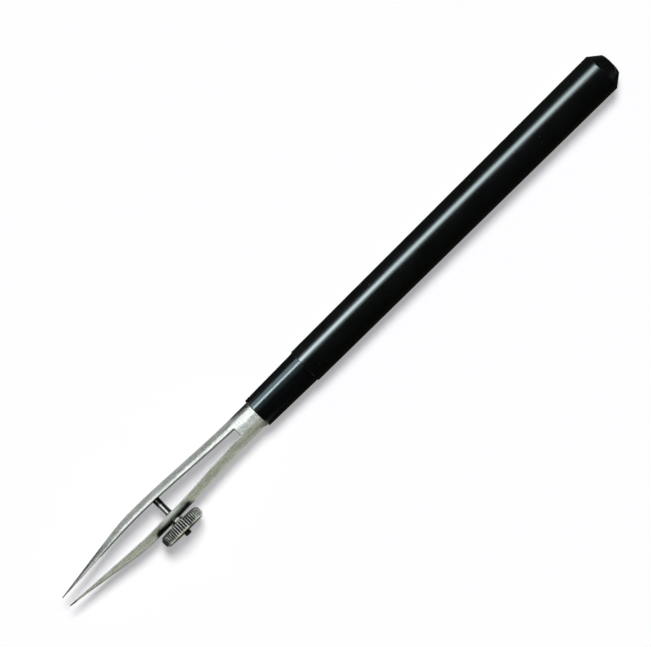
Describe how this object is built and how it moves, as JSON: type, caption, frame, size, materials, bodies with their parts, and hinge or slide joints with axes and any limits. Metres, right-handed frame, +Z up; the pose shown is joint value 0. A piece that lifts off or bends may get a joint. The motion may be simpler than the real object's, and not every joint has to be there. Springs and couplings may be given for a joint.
{
  "type": "ruling pen",
  "caption": "Ruling pen with a black plastic handle and a sprung steel fork whose bowed blades are drawn together by a knurled nut on a cross stud.",
  "frame": {"origin": "centre of the flat butt of the handle", "axes": "+X along the pen to the nib tips, +Y to the side of the knurled nut along the stud, +Z up when the pen lies flat"},
  "size_m": [0.14, 0.011, 0.0092],
  "materials": {
    "handle_plastic": "satin",
    "plug_plastic": "satin",
    "ferrule_plastic": "gloss",
    "nickel": "satin nickel plate",
    "stud_steel": "polished steel",
    "nut_nickel": "nickel plate"
  },
  "bodies": {
    "handle": {"handle_tube": "handle_plastic", "end_plug": "plug_plastic", "nose_ferrule": "ferrule_plastic", "fork_neck": "nickel"},
    "stud_blade": {"stud_blade": "nickel"},
    "nut_blade": {"nut_blade": "nickel"},
    "stud": {"adjusting_stud": "stud_steel"},
    "nut": {"knurled_nut": "nut_nickel"}
  },
  "joints": [
    {"name": "nut_blade_flex", "type": "hinge", "parent": "handle", "child": "nut_blade", "pos_m": [0.09595, 0.00182, 0], "axis": [0, 0, -1], "range_deg": [-0.55, 1.2]},
    {"name": "nut_turn", "type": "hinge", "parent": "nut_blade", "child": "nut", "pos_m": [0.1153, 0, 0], "axis": [0, -1, 0], "range_deg": [-360, 800]},
    {"name": "stud_blade_flex", "type": "hinge", "parent": "handle", "child": "stud_blade", "pos_m": [0.09595, -0.00182, 0], "axis": [0, 0, 1], "range_deg": [-0.55, 1.2]},
    {"name": "stud_rock", "type": "hinge", "parent": "stud_blade", "child": "stud", "pos_m": [0.1153, -0.00295, 0], "axis": [0, 0, -1], "range_deg": [-0.55, 1.2]}
  ],
  "couplings": [
    {"joint": "nut_blade_flex", "follows": "nut_turn", "ratio": 0.0014394},
    {"joint": "stud_blade_flex", "follows": "nut_turn", "ratio": 0.0014394},
    {"joint": "stud_rock", "follows": "nut_turn", "ratio": 0.0014394}
  ]
}
